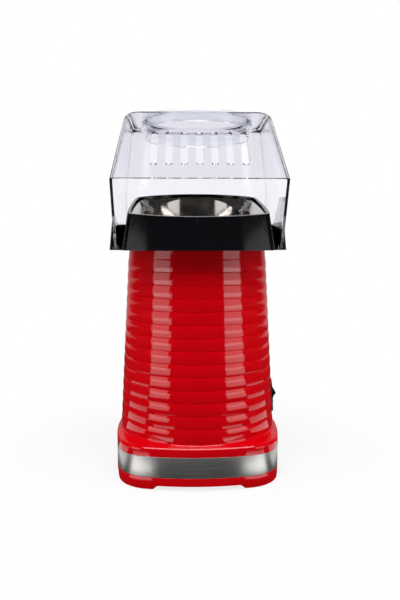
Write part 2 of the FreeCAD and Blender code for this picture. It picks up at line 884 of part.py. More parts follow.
def funnel_rim_plan(inset):
    """The liner's rim in its sloping plane, kept a gap inside the scoop's wall at the rim."""
    stretch = 1 / cosine(s.rim_angle)
    inside = s.scoop_wall + s.funnel_gap + inset
    front_height = rim_front_height - s.tower_top
    back_height = front_height + (s.rim_front_reach + scoop_back) * tangent(s.rim_angle)
    side_height = front_height + s.rim_front_reach * tangent(s.rim_angle) / 2
    return Plan(scoop_half - inside - side_height * scoop_lean,
                (s.scoop_front - inside - front_height * scoop_lean) * stretch,
                (scoop_back - inside - back_height * scoop_lean) * stretch,
                s.scoop_side_radius, s.scoop_front_radius, s.scoop_back_radius,
                s.scoop_front_corner - inset, s.scoop_back_corner - inset, -s.funnel_side_shift)


def make_chamber_funnel():
    body = new_body("chamber_funnel")
    rim_height = rim_zero - s.funnel_drop
    loft(body, funnel_foot_plan(0).draw(new_sketch(body, lift=flange_top)),
         funnel_rim_plan(as_size(0)).draw(new_sketch(body, lift=rim_height, tilt=s.rim_angle)))
    flange = draw_circle(new_sketch(body, lift=flange_top), 0, 0, pot_flange)
    pad(body, flange, s.pot_sheet)
    loft(body, funnel_foot_plan(s.pot_sheet).draw(new_sketch(body, lift=flange_top)),
         funnel_rim_plan(s.pot_sheet).draw(new_sketch(body, lift=rim_height, tilt=s.rim_angle)),
         "SubtractiveLoft")
    return body


def make_heater_plate(label, role, slot_from_top):
    """A mica plate across the duct, notched half-way at the middle and pierced for the coil."""
    body = new_body(label)
    half = shield_radius - s.shield_sheet - s.mica_gap
    low, high = duct_high, duct_high + s.mica_height
    pad(body, draw_box(new_sketch(body, role, lift=-s.mica_sheet / 2), -half, half, low, high), s.mica_sheet)
    holes = new_sketch(body, role, lift=-s.mica_sheet / 2)
    for k in range(COIL_COUNT):
        for side in (1, -1):
            draw_circle(holes, side * coil_radius, coil_low + k * s.coil_pitch, s.coil_wire + s.coil_gap)
    middle = duct_high + s.mica_height / 2
    gap = s.mica_sheet / 2 + s.shaft_gap * 2
    if slot_from_top:
        draw_box(holes, -gap, gap, middle - s.shaft_gap, high + s.mica_sheet)
    else:
        draw_box(holes, -gap, gap, low - s.mica_sheet, middle + s.shaft_gap)
    pocket(body, holes, s.mica_sheet, backwards=True)
    return body


def make_heater_coil():
    rings = []
    for k in range(COIL_COUNT):
        ring = doc.addObject("Part::Torus", f"heater_ring_{k}")
        bind(ring, "Radius1", coil_radius)
        bind(ring, "Radius2", s.coil_wire)
        bind_place(ring, z=coil_low + k * s.coil_pitch)
        rings.append(ring)
    return group("heater_coil", rings)


def make_heater_guards():
    """The thermostat and the fuse on the two faces of one mica plate."""
    height = duct_high + s.mica_height / 2
    keep(cylinder("thermostat", s.thermostat_radius, s.thermostat_depth, coil_radius / 2, s.mica_sheet / 2,
                  height, ACROSS), "thermostat")
    side = -(s.mica_sheet / 2 + s.fuse_radius + s.shaft_gap)
    keep(cylinder("thermal_fuse", s.fuse_radius, s.fuse_length, coil_radius / 2 - s.fuse_length / 2, side,
                  height, OUTWARD), "thermal_fuse")


def make_fan_duct():
    inner = duct_radius - s.duct_wall
    floor_top = s.duct_low + s.duct_wall
    lip_low = duct_high - s.duct_wall
    bore = s.bushing_radius + s.shaft_gap
    body = turned_piece("fan_duct", [
        (bore, s.duct_low), (duct_radius, s.duct_low), (duct_radius, duct_high),
        (duct_radius - s.duct_lip, duct_high), (duct_radius - s.duct_lip, lip_low), (inner, lip_low),
        (inner, floor_top), (bore, floor_top)])
    legs = new_sketch(body, lift=cover_top)
    for x, y in square_places(duct_leg_place):
        draw_circle(legs, x, y, s.duct_leg_radius)
    pad(body, legs, s.duct_low - cover_top)
    holes = new_sketch(body, lift=cover_top)
    for x, y in square_places(duct_leg_place):
        draw_circle(holes, x, y, screw_hole)
    pocket(body, holes, s.screw_length, backwards=True)
    screw_holes = new_sketch(body, lift=s.duct_low)
    for side in (1, -1):
        draw_circle(screw_holes, side * s.motor_screw_place, 0, s.screw_pass)
    pocket(body, screw_holes, s.duct_wall, backwards=True)
    inlet = draw_circle(new_sketch(body, lift=s.duct_low), s.inlet_place, 0, s.inlet_radius)
    ring_copies(body, pocket(body, inlet, s.duct_wall, backwards=True), s.inlet_number)
    return body


def make_motor():
    inner = s.motor_radius - s.motor_wall
    can = turned_piece("motor_can", [
        (inner, motor_low), (s.motor_radius, motor_low), (s.motor_radius, s.duct_low),
        (s.bushing_radius, s.duct_low), (s.bushing_radius, s.duct_low - s.motor_wall),
        (inner, s.duct_low - s.motor_wall)])
    holes = new_sketch(can, lift=s.duct_low)
    for side in (1, -1):
        draw_circle(holes, side * s.motor_screw_place, 0, screw_hole)
    pocket(can, holes, s.motor_wall)
    shell_radius = inner - s.shaft_gap
    turned_piece("motor_magnets", ring_corners(shell_radius - s.magnet_sheet, shell_radius, rotor_low,
                                               rotor_high))
    bushing = s.bushing_radius - s.shaft_gap
    turned_piece("motor_bushing", ring_corners(shaft_hole, bushing, rotor_high + s.magnet_gap,
                                               s.duct_low + s.bushing_stand))
    turned_piece("motor_end_cap", ring_corners(shaft_hole, s.motor_radius, cap_low, motor_low))
    shaft_low = cap_low + s.magnet_gap
    keep(cylinder("motor_shaft", s.shaft_radius, shaft_top - shaft_low, z=shaft_low), "motor_shaft")
    turned_piece("motor_rotor", ring_corners(s.shaft_radius, s.rotor_radius, rotor_low, rotor_high))


def make_impeller():
    body = turned_piece("impeller", [
        (s.shaft_radius, fan_low), (fan_radius, fan_low), (fan_radius, fan_low + s.fan_disc),
        (s.fan_hub, fan_low + s.fan_disc), (s.fan_hub, fan_low + s.fan_height),
        (s.shaft_radius, fan_low + s.fan_height)])
    blade = draw_box(new_sketch(body, lift=fan_low), s.fan_hub - s.blade_sheet, fan_radius,
                     -s.blade_sheet / 2, s.blade_sheet / 2)
    ring_copies(body, pad(body, blade, s.fan_height), s.blade_number)
    return body


def make_rectifier():
    low = cap_low - s.board_sheet
    turned_piece("rectifier_board", ring_corners(shaft_hole, s.board_radius, low, cap_low))
    diodes = [cylinder(f"diode_{i}", s.diode_radius, s.diode_length, -s.diode_length / 2,
                       step * s.diode_pitch, low - s.diode_radius - s.shaft_gap, OUTWARD)
              for i, step in enumerate(even_steps(DIODE_COUNT))]
    group("rectifier_diodes", diodes)


def make_terminal_block():
    block = box("terminal_block", s.terminal_width, s.terminal_depth, s.terminal_height,
                -s.terminal_width / 2, s.terminal_place, cover_top)
    return keep(block, "terminal_block")


def lean_with_tower(item, extra_turn=0, out=0):
    """Sets a switch piece, made about its own origin, on the leaning flat of the tower."""
    angle = as_size(extra_turn) - s.switch_lean
    item.Placement = FreeCAD.Placement(Vector(), FreeCAD.Rotation(ACROSS, angle.number))
    bind(item, "Placement.Rotation.Angle", angle)
    bind_place(item, switch_face + out * cosine(s.switch_lean), 0,
               switch_height + out * sine(s.switch_lean))
    return item


def make_switch():
    """A rocker switch: outwards is +X in its own frame, with the tower's flat at zero."""
    pivot = s.bezel_sheet - s.rocker_pivot_depth
    half_width, half_height = s.switch_box_width / 2, s.switch_box_height / 2
    pin_hole = s.pin_radius + s.shaft_gap

    housing = new_body("switch_housing")
    bow = s.bezel_side_radius
    bezel = Plan(s.bezel_width / 2, s.bezel_height / 2, s.bezel_height / 2, bow, bow, bow, s.bezel_corner,
                 s.bezel_corner)
    pad(housing, bezel.draw(new_sketch(housing, "YZ_Plane")), s.bezel_sheet)
    back = draw_box(new_sketch(housing, "YZ_Plane"), -half_width, half_width, -half_height, half_height)
    pad(housing, back, s.switch_box_depth, backwards=True)
    well_width = s.rocker_width / 2 + s.rocker_gap
    well_height = s.rocker_radius + s.rocker_gap
    well = draw_box(new_sketch(housing, "YZ_Plane", lift=s.bezel_sheet), -well_width, well_width,
                    -well_height, well_height)
    pocket(housing, well, s.switch_well_depth)
    pocket(housing, draw_circle(new_sketch(housing, "XZ_Plane"), pivot, 0, pin_hole), both_ways=True)
    lean_with_tower(housing)

    pin = cylinder("switch_pin", s.pin_radius, s.switch_box_width,
                   switch_face + pivot * cosine(s.switch_lean), -half_width,
                   switch_height + pivot * sine(s.switch_lean), ACROSS)
    keep(pin, "switch_pin")

    rocker = new_body("rocker")
    tip_out = s.rocker_radius * cosine(s.rocker_tip_angle)
    tip_up = s.rocker_radius * sine(s.rocker_tip_angle)
    back_in = s.rocker_radius * sine(s.rocker_back_angle)
    back_up = s.rocker_radius * cosine(s.rocker_back_angle)
    profile = draw_outline(new_sketch(rocker, "XZ_Plane", lift=-s.rocker_width / 2), [
        (tip_out, -tip_up, -s.rocker_dish_radius), (tip_out, tip_up, s.rocker_radius),
        (-back_in, back_up), (-back_in, -back_up, s.rocker_radius)])
    pad(rocker, profile, s.rocker_width)
    pocket(rocker, draw_circle(new_sketch(rocker, "XZ_Plane"), 0, 0, pin_hole), both_ways=True)
    lean_with_tower(rocker, s.rocker_rest_angle, pivot)

    terminals = new_body("switch_terminals")
    terminals.AllowCompound = True
    blades = new_sketch(terminals, "YZ_Plane", lift=-s.switch_box_depth)
    for step in even_steps(TERMINAL_COUNT):
        middle = step * s.switch_box_height / TERMINAL_COUNT
        draw_box(blades, -s.blade_terminal_width / 2, s.blade_terminal_width / 2,
                 middle - s.mica_sheet / 2, middle + s.mica_sheet / 2)
    pad(terminals, blades, s.blade_terminal_length, backwards=True)
    lean_with_tower(terminals)


def make_cord_gland():
    """The bushing that the lead passes through, with its flange against the ribs."""
    wall = groove_radius + s.groove_growth * (groove_top - gland_height) / rib_pitch
    face = wall + s.gland_stand
    barrel = cylinder("gland_barrel", s.gland_radius, s.gland_depth, 0, face - s.gland_depth, gland_height,
                      ACROSS)
    flange = cylinder("gland_flange", s.gland_flange, s.gland_flange_sheet, 0, face, gland_height, ACROSS)
    outside = doc.addObject("Part::Fuse", "gland_outside")
    outside.Base = barrel
    outside.Tool = flange
    bore = cylinder("gland_bore", s.gland_bore, s.gland_depth + s.gland_flange_sheet, 0,
                    face - s.gland_depth, gland_height, ACROSS)
    return keep(cut("cord_gland", outside, bore), "cord_gland")


def hood_plan(half, front, back, front_corner):
    return Plan(half, front, back, s.hood_flat_radius, s.hood_flat_radius, s.hood_back_radius,
                front_corner, s.hood_back_corner)


def make_hood():
    """The clear visor: upright lower walls, a sloping front with vents, and a ring for the cup on top."""
    body = new_body("hood")
    rise = hood_top - lip_height
    front_run = s.lip_front - s.hood_top_front
    panel_angle = slope_angle(rise, front_run)
    panel_length = rise / sine(panel_angle)
    front_wall = s.hood_wall / sine(panel_angle)
    near_top = s.hood_wall / rise

    lower = hood_plan(hood_half, s.lip_front, hood_back, s.hood_front_corner)
    upper = hood_plan(hood_top_half, s.hood_top_front, hood_top_back, s.hood_top_corner)
    lower_hollow = hood_plan(hood_half - s.hood_wall, s.lip_front - front_wall, hood_back - s.hood_wall,
                             s.hood_front_corner - s.hood_wall)
    upper_hollow = hood_plan(hood_top_half + (hood_half - hood_top_half) * near_top - s.hood_wall,
                             s.hood_top_front + front_run * near_top - front_wall,
                             hood_top_back + (hood_back - hood_top_back) * near_top - s.hood_wall,
                             s.hood_top_corner - s.hood_wall)
    pad(body, lower.draw(new_sketch(body, lift=hood_foot)), lip_height - hood_foot)
    visor = loft(body, lower.draw(new_sketch(body, lift=lip_height)),
                 upper.draw(new_sketch(body, lift=hood_top)))
    round_edges(body, visor, s.hood_top_round, level_edge(hood_top))
    pocket(body, lower_hollow.draw(new_sketch(body, lift=hood_foot)), lip_height - hood_foot,
           backwards=True)
    loft(body, lower_hollow.draw(new_sketch(body, lift=lip_height)),
         upper_hollow.draw(new_sketch(body, lift=hood_top - s.hood_wall)), "SubtractiveLoft")

    far = s.lip_front * 2
    mouth_head = s.lip_front - s.hood_front_corner
    pocket(body, draw_outline(new_sketch(body, "YZ_Plane"), [
        (-far, hood_foot), (-s.mouth_foot, hood_foot), (-mouth_head, lip_height),
        (-far, lip_height)]), both_ways=True)
    ear_back = s.skirt_front + s.hood_seat_gap
    pocket(body, draw_box(new_sketch(body, "YZ_Plane"), -ear_back, far, hood_foot,
                          deck_top + s.hood_seat_gap), both_ways=True)

    ring_low = hood_top - s.ring_drop
    ring = draw_circle(new_sketch(body, lift=ring_low), 0, cup_place, ring_radius)
    draw_circle(ring, 0, cup_place, ring_bore - s.ring_ledge)
    pad(body, ring, s.ring_drop + s.ring_rise)
    bore = draw_circle(new_sketch(body, lift=ring_low + s.ring_ledge_sheet), 0, cup_place, ring_bore)
    pocket(body, bore, backwards=True)
    gate = draw_box(new_sketch(body, lift=hood_top), -s.ring_gate_half, s.ring_gate_half,
                    -far, far)
    pocket(body, gate, backwards=True)

    vents = new_sketch(body, lift=lip_height, shift=-s.lip_front, tilt=panel_angle)
    high = panel_length - s.vent_start - s.vent_width / 2
    low = high - s.vent_length + s.vent_width
    for step in even_steps(VENT_COUNT):
        middle = step * s.vent_pitch
        left, right = middle - s.vent_width / 2, middle + s.vent_width / 2
        draw_outline(vents, [(right, low), (right, high, s.vent_end_radius), (left, high),
                             (left, low, s.vent_end_radius)])
    pocket(body, vents, s.vent_cut)
    return body


def make_measuring_cup():
    step = hood_top - s.ring_drop + s.ring_ledge_sheet + s.cup_gap
    low, high = hood_top - s.cup_drop, hood_top + s.cup_rise
    wide = ring_bore - s.cup_gap
    narrow = wide - s.ring_ledge
    inner = narrow - s.cup_wall
    body = turned_piece("measuring_cup", [
        (0, low), (narrow, low), (narrow, step), (wide, step), (wide, high), (inner, high),
        (inner, low + s.cup_wall), (0, low + s.cup_wall)])
    bind_place(body, y=cup_place)
    return body


def make_kernel_spreader():
    floor_top = pot_floor + s.pot_sheet
    return turned_piece("kernel_spreader", [
        (0, floor_top), (s.spreader_radius, floor_top), (0, floor_top + s.spreader_height)])


make_tower_shell()
make_base_ring()
make_steel_band()
make_bottom_cover()
make_rubber_feet()
make_collar()
make_popping_chamber()
make_kernel_spreader()
turned_piece("chamber_gasket", ring_corners(pot_radius + s.pot_hole_gap, pot_flange, deck_top,
                                            gasket_top))
make_chamber_funnel()
turned_piece("heat_shield", ring_corners(shield_radius - s.shield_sheet, shield_radius, duct_high,
                                         s.tower_top))
make_heater_plate("heater_plate_x", "XZ_Plane", True)
make_heater_plate("heater_plate_y", "YZ_Plane", False)
make_heater_coil()
make_heater_guards()
make_fan_duct()
make_motor()
make_impeller()
make_rectifier()
make_terminal_block()
make_switch()
make_cord_gland()
make_hood()
make_measuring_cup()
screw_group("bottom_screws", square_places(post_place), s.cover_low, True)
screw_group("duct_screws", square_places(duct_leg_place), s.cover_low, True)
screw_group("collar_screws", square_places(collar_screw_place), deck_top, False)
screw_group("motor_screws", [(side * s.motor_screw_place, as_size(0)) for side in (1, -1)],
            s.duct_low + s.duct_wall, False)

# The tower's axis stands behind the origin, which is under the middle of the whole part's box
for item in sub_parts:
    bind(item, "Placement.Base.y", places_back.get(item.Name, 0) + axis_place)

doc.recompute()
failed = [item.Label for item in doc.Objects if {"Invalid", "Error"} & set(item.State)]
if failed:
    raise RuntimeError("Failed objects: " + ", ".join(failed))
for item in sub_parts:
    if item.Shape.isNull() or not item.Shape.isValid() or not item.Shape.Solids:
        raise RuntimeError(f"{item.Label} has no valid solid")
os.makedirs("parts", exist_ok=True)
for item in sub_parts:
    item.Shape.exportStep(f"parts/{item.Label}.step")
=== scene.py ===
import json
import math

import bpy
import numpy as np
from bpy.props import FloatProperty, FloatVectorProperty, PointerProperty
from mathutils import Euler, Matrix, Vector


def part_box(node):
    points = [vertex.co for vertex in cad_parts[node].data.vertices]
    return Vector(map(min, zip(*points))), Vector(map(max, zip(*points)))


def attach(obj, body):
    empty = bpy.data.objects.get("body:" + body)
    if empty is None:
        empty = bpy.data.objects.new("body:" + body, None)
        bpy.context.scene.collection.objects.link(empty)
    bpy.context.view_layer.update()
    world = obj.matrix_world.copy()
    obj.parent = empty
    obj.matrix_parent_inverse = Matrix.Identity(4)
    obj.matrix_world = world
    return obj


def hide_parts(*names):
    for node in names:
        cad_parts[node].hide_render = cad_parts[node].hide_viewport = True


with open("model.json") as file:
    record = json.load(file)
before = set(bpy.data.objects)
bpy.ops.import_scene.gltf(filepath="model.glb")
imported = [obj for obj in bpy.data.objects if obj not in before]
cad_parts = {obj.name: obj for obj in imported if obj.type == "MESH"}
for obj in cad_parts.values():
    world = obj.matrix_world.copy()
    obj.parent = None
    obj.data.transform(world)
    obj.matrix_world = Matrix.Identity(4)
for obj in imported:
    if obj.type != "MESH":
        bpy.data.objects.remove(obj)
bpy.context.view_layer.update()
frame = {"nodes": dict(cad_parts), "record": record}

bl_info = {
    "name": "Popcorn maker",
    "version": (1, 0, 0),
    "blender": (4, 5, 0),
    "location": "View3D > Sidebar > Popcorn",
    "description": "Dresses the frame of a hot-air popcorn maker and sets up its studio",
    "category": "Object",
}

MM = 0.001
# The tower stands behind the origin, over the popping chamber.
AXIS = np.array([0.0, sum(corner[1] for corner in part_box("popping_chamber")) / 2, 0.0])


def linear(code):
    """A linear RGBA colour from an sRGB hex code."""
    values = np.array([int(code[i:i + 2], 16) for i in (1, 3, 5)]) / 255
    bright = ((values + 0.055) / 1.055) ** 2.4
    return (*np.where(values <= 0.04045, values / 12.92, bright).tolist(), 1.0)


def length(name, description, millimetres):
    """A length property whose default is given in millimetres."""
    return FloatProperty(name=name, description=description, default=millimetres * MM, unit="LENGTH")


def colour(name, description, code):
    """A colour property whose default is given as an sRGB hex code."""
    return FloatVectorProperty(name=name, description=description, default=linear(code), size=4,
                               min=0, max=1, subtype="COLOR")


def angle(name, description, degrees):
    """An angle property whose default is given in degrees."""
    return FloatProperty(name=name, description=description, default=math.radians(degrees),
                         subtype="ANGLE", unit="ROTATION")


class PopcornBase(bpy.types.PropertyGroup):
    half: length("Half width", "From the axis to the middle of a side", 68.2)
    side_bow: length("Side radius", "Radius of the slightly bowed sides", 180)
    corner: length("Corner radius", "Radius of the plan's corners", 29)
    bottom: length("Bottom", "Height of the lower edge above the table", 0.5)
    split: length("Split", "Height where the base ring meets the tower moulding", 18.5)
    shoulder: length("Shoulder", "Height of the flat shoulder", 34)
    shoulder_round: length("Shoulder rounding", "Radius along the shoulder's edge", 3)
    wall: length("Wall", "Thickness of the moulded walls", 2.2)
    band_low: length("Band bottom", "Height of the steel band's lower edge", 10)
    band_high: length("Band top", "Height of the steel band's upper edge", 26.4)
    band_seat: length("Band seat", "Depth of the recess that holds the band", 0.7)
    notch_top: length("Notch height", "Height of the notches between the feet", 3.6)
    notch_half: length("Notch half width", "Half of a notch's width at its top", 32.4)
    notch_slant: length("Notch slant", "Run of the slanted ends of a notch", 3.2)
    foot_round: length("Foot rounding", "Radius along the lower edges", 0.6)
    ledge_round: length("Ledge rounding", "Radius along the ledge under the band", 0.3)
    seat_round: length("Seat rounding", "Radius in the corner of the band's recess", 0.1)
    split_round: length("Split rounding", "Radius along the upper edges of the base ring", 0.2)
    band_gap: length("Band gap", "Gap above and below the band", 0.1)
    band_sheet: length("Band sheet", "Thickness of the band", 0.6)
    band_round: length("Band rounding", "Radius along the band's edges", 0.12)


class PopcornTower(bpy.types.PropertyGroup):
    top: length("Top", "Height where the tower meets the collar", 183.4)
    groove_top: length("First groove", "Height of the uppermost groove", 176.6)
    groove_radius: length("Groove radius", "Radius at the uppermost groove", 57.3)
    neck: length("Neck radius", "Radius at the top, inside the collar", 56.8)
    growth: length("Growth", "Growth of the radius from one groove to the next", 0.53)
    pitch: length("Rib pitch", "Distance between two grooves", 10)
    rib_radius: length("Rib radius", "Radius of a rib's convex profile", 30)
    groove_depth: length("Groove depth", "Depth of the narrow groove between two ribs", 0.35)
    groove_half: length("Groove half width", "Half of the narrow groove's width", 0.33)
    root: length("Root radius", "Radius of the fillet on the shoulder", 1.6)
    wall: length("Wall", "Thickness of the tower's wall", 2.4)
    flat: length("Switch flat", "Distance of the switch's flat from the axis", 62.4)
    flat_height: length("Switch height", "Height of the middle of the switch's flat", 58)
    flat_reach: length("Flat half height", "Half of the height of the switch's flat", 17)
    flat_half: length("Flat half width", "Half of the width of the switch's flat", 12)
    flat_lean: angle("Flat lean", "How far the switch's flat leans in", 3.04)
    seat: length("Shoulder seat", "How far the shoulder's inner edge lies outside the uppermost groove", 5)


class PopcornLiner(bpy.types.PropertyGroup):
    foot_radius: length("Foot radius", "Radius of the upright wall on the popping chamber", 45)
    foot_height: length("Foot height", "Height of the popping chamber's mouth", 187.8)
    flange: length("Flange", "Radius of the flange on the popping chamber", 47)
    sheet: length("Sheet", "Thickness of the metal", 0.8)
    rim_half: length("Rim half width", "Half width of the rim", 51.8)
    rim_front: length("Rim front", "Reach of the rim to the front along its slope", 68.7)
    rim_back: length("Rim back", "Reach of the rim to the back along its slope", 46.5)
    rim_height: length("Rim height", "Height of the sloping rim over the axis", 220.2)
    rim_angle: angle("Rim angle", "Slope of the rim down to the front", 11.8)
    side_bow: length("Side radius", "Radius of the rim's bowed sides", 700)
    front_bow: length("Front radius", "Radius of the rim's bowed front", 110)
    back_bow: length("Back radius", "Radius of the rim's bowed back", 80)
    front_corner: length("Front corner radius", "Radius of the rim's front corners", 9)
    back_corner: length("Back corner radius", "Radius of the rim's back corners", 16)
    side_shift: length("Side shift", "Where along the slope the rim is widest; negative is to the front", -34)
    lean: FloatProperty(name="Lean", description="Rise of the leaning wall for each length that it leans out",
                        default=1.0)


class PopcornColours(bpy.types.PropertyGroup):
    red_plastic: colour("Red plastic", "Tower and base", "#D8000E")
    black_plastic: colour("Black plastic", "Collar and rocker", "#0A0A0D")
    black_matte_plastic: colour("Matt black plastic", "Bottom cover, duct, switch housing and gland",
                                "#17171A")
    clear_plastic: colour("Clear plastic", "Hood and measuring cup", "#F7F7FC")
    brushed_steel: colour("Brushed steel", "Band round the base", "#C8C6C4")
    galvanised_steel: colour("Galvanised steel", "Heat shield and motor can", "#A3A8AB")
    screw_steel: colour("Plated steel", "Screws, shaft and pin", "#B2B0AA")
    aluminium: colour("Aluminium", "Popping chamber and kernel spreader", "#C3C5C8")
    polished_aluminium: colour("Polished aluminium", "Funnel in the collar", "#C4C0BA")
    rubber: colour("Rubber", "Feet", "#1C1B1B")
    silicone: colour("Silicone", "Gasket of the popping chamber", "#8C2A22")
    mica: colour("Mica", "Plates that carry the heater", "#A9987C")
    heater_wire: colour("Heater wire", "Coil of the heater", "#6E6A66")
    ferrite: colour("Ferrite", "Magnets of the motor", "#34353A")
    rotor_iron: colour("Rotor iron", "Rotor of the motor", "#6B655F")
    bronze: colour("Bronze", "Bushing of the motor", "#9A6B3C")
    brass: colour("Brass", "Terminals of the switch", "#BFA05A")
    nylon: colour("Nylon", "Impeller, end cap and terminal block", "#E4DFD2")
    circuit_board: colour("Circuit board", "Board of the rectifier", "#8A6A38")
    floor: colour("Floor", "Pale floor and backdrop", "#F4F4F4")


class PopcornStage(bpy.types.PropertyGroup):
    camera_distance: length("Camera distance", "From the tower's axis to the camera", 509)
    camera_height: length("Camera height", "Height of the camera above the table", 192.5)
    camera_pitch: angle("Camera pitch", "How far the camera looks down", 5.88)
    camera_turn: angle("Camera turn", "How far the camera stands round to the left of the front", 1.4)
    camera_aim: angle("Camera aim", "How far the camera looks to the right of the axis", 0.28)
    key_power: FloatProperty(name="Key power", description="Power of the softbox overhead", default=18.0,
                             unit="POWER")
    side_power: FloatProperty(name="Side power", description="Power of each softbox at the sides",
                              default=0.86, unit="POWER")
    fill_power: FloatProperty(name="Fill power", description="Power of each soft light round the back",
                              default=3.0, unit="POWER")
    fill: FloatProperty(name="Fill", description="Strength of the light from all round", default=0.02)
    dark: FloatProperty(name="Dark side", description="Strength of the unlit studio in reflections",
                        default=0.02)


def plan_outline(half, front, back, bows, corners, side_shift=0.0, steps=(56, 24)):
    """Points and outward normals, as complex numbers, of a four-sided plan with round corners.

    Each side is an arc of a large circle, and each corner an arc of a small circle that touches two of
    them from inside: centre + radius * exp(i * angle), with evenly spaced angles.
    """
    side, fore, rear = bows
    centres = np.array([half - side + 1j * side_shift, 1j * (back - rear),
                        side - half + 1j * side_shift, 1j * (fore - front)])
    radii = np.array([side, rear, side, fore])
    turns = np.array([corners[1], corners[1], corners[0], corners[0]])
    ways = np.array([1 + 1j, -1 + 1j, -1 - 1j, 1 - 1j])
    after = np.roll(centres, -1)
    near, far = radii - turns, np.roll(radii, -1) - turns
    line = after - centres
    along = (near ** 2 - far ** 2 + abs(line) ** 2) / (2 * abs(line))
    aside = np.sqrt(near ** 2 - along ** 2)
    first, second = (centres + line / abs(line) * (along + sign * 1j * aside) for sign in (1, -1))
    outward = (first * ways.conj()).real > (second * ways.conj()).real
    middles = np.where(outward, first, second)
    starts = np.angle(np.roll(middles, 1) - centres)
    ends = np.angle(middles - centres)
    turned = np.angle(middles - after)
    points, normals = [], []
    for i in range(4):
        for centre, radius, low, high, number in (
                (centres[i], radii[i], starts[i], ends[i], steps[0]),
                (middles[i], turns[i], ends[i], turned[i], steps[1])):
            ways_out = np.exp(1j * (low + (high - low) % (2 * np.pi) * np.arange(number) / number))
            points.append(centre + radius * ways_out)
            normals.append(ways_out)
    return np.concatenate(points), np.concatenate(normals)


def rounded_loop(corners, steps=5):
    """A closed outline of complex points whose corners are arcs that touch both neighbouring edges.

    An arc's centre lies radius / sin(half the corner's angle) along the line that halves the corner.
    """
    places = np.array([complex(x, y) for x, y, radius in corners])
    radii = np.array([radius for x, y, radius in corners])
    back, ahead = np.roll(places, 1) - places, np.roll(places, -1) - places
    back, ahead = back / abs(back), ahead / abs(ahead)
    half = np.arccos(np.clip((back * ahead.conj()).real, -1, 1)) / 2
    middle = (back + ahead) / abs(back + ahead)
    centres = places + middle * radii / np.sin(half)
    begin = np.angle(places + back * radii / np.tan(half) - centres)
    finish = np.angle(places + ahead * radii / np.tan(half) - centres)
    turn = (finish - begin + np.pi) % (2 * np.pi) - np.pi
    share = np.linspace(0, 1, steps)
    arcs = np.exp(1j * (begin[:, None] + turn[:, None] * share))
    return (centres[:, None] + radii[:, None] * arcs).ravel()


def stack(flat, heights):
    """Points in space from complex plan points and heights."""
    heights = np.broadcast_to(heights, flat.shape)
    return np.stack([flat.real, flat.imag, heights], axis=-1)


def swept(points, normals, loop):
    """A profile carried round a plan: plan point + normal * profile across, at height profile up."""
    return stack(points[None, :] + normals[None, :] * loop.real[:, None], loop.imag[:, None])


def new_piece(name, body, grids, material, sharp):
    """One smooth mesh from grids of points, with edges above an angle in degrees kept sharp.

    A grid is (points by row and column, wrap rows, wrap columns).
    """
    vertices, quads, first = [], [], 0
    for points, wrap_rows, wrap_columns in grids:
        rows, columns = points.shape[:2]
        i = np.arange(rows if wrap_rows else rows - 1)[:, None]
        j = np.arange(columns if wrap_columns else columns - 1)[None, :]
        above, beside = (i + 1) % rows, (j + 1) % columns
        corners = [i * columns + j, i * columns + beside, above * columns + beside, above * columns + j]
        quads.append(np.stack(corners, axis=-1).reshape(-1, 4) + first)
        vertices.append(points.reshape(-1, 3))
        first += rows * columns
    mesh = bpy.data.meshes.new(name)
    mesh.from_pydata((np.concatenate(vertices) + AXIS).tolist(), [], np.concatenate(quads).tolist())
    mesh.polygons.foreach_set("use_smooth", np.ones(len(mesh.polygons), dtype=bool))
    mesh.set_sharp_from_angle(angle=math.radians(sharp))
    mesh.materials.append(material)
    piece = bpy.data.objects.new(name, mesh)
    bpy.context.scene.collection.objects.link(piece)
    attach(piece, body)
    return piece


def add_node(tree, kind, settings=None, inputs=None):
    """Adds one node with its own settings, and its sockets' values or links."""
    node = tree.nodes.new(kind)
    for name, value in (settings or {}).items():
        setattr(node, name, value)
    for name, value in (inputs or {}).items():
        if isinstance(value, bpy.types.NodeSocket):
            tree.links.new(value, node.inputs[name])
        else:
            node.inputs[name].default_value = value
    return node


